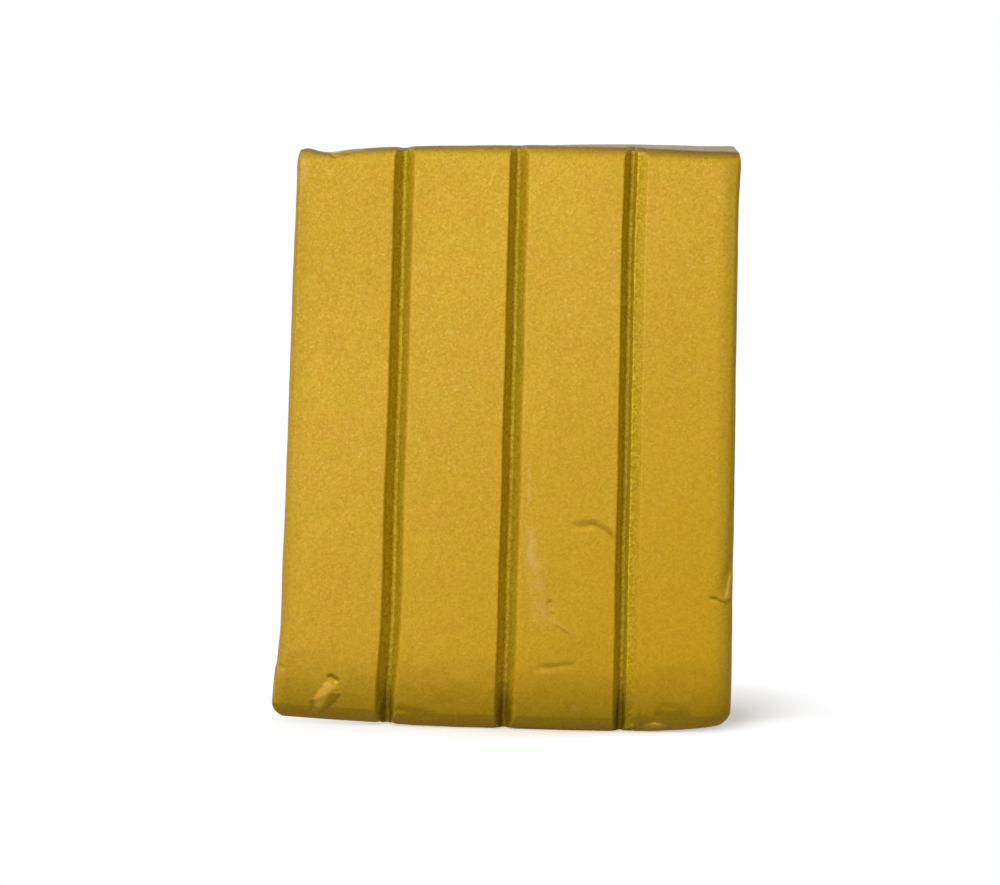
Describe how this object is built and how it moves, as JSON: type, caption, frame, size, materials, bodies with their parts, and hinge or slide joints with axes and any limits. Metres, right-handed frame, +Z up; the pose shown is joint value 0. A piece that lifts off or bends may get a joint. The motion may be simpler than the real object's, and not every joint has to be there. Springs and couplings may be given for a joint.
{
  "type": "scored clay bar",
  "caption": "Flat block of soft pearlescent clay standing on its foot, scored on its face into parallel sticks that bend back at the scores and snap off one by one.",
  "frame": {"origin": "centre of the bounding box on the plane that the foot of the bar stands on", "axes": "+Z up along the sticks, +X across the sticks from left to right as the scored face is read, +Y through the thickness from the scored face to the plain back"},
  "size_m": [0.057, 0.0104, 0.0745],
  "materials": {
    "pearlescent_clay": "soft satin with fine mica sparkle"
  },
  "bodies": {
    "stick_1": {"stick_1": "pearlescent_clay"},
    "stick_2": {"stick_2": "pearlescent_clay"},
    "stick_3": {"stick_3": "pearlescent_clay"},
    "stick_4": {"stick_4": "pearlescent_clay"}
  },
  "joints": [
    {"name": "score_1_bend", "type": "hinge", "parent": "stick_1", "child": "stick_2", "pos_m": [-0.0147, 0.00525, 0.03725], "axis": [0, 0, 1], "range_deg": [0, 45]},
    {"name": "score_2_bend", "type": "hinge", "parent": "stick_2", "child": "stick_3", "pos_m": [0, 0.00525, 0.03725], "axis": [0, 0, 1], "range_deg": [0, 45]},
    {"name": "score_3_bend", "type": "hinge", "parent": "stick_3", "child": "stick_4", "pos_m": [0.0147, 0.00525, 0.03725], "axis": [0, 0, 1], "range_deg": [0, 45]}
  ]
}
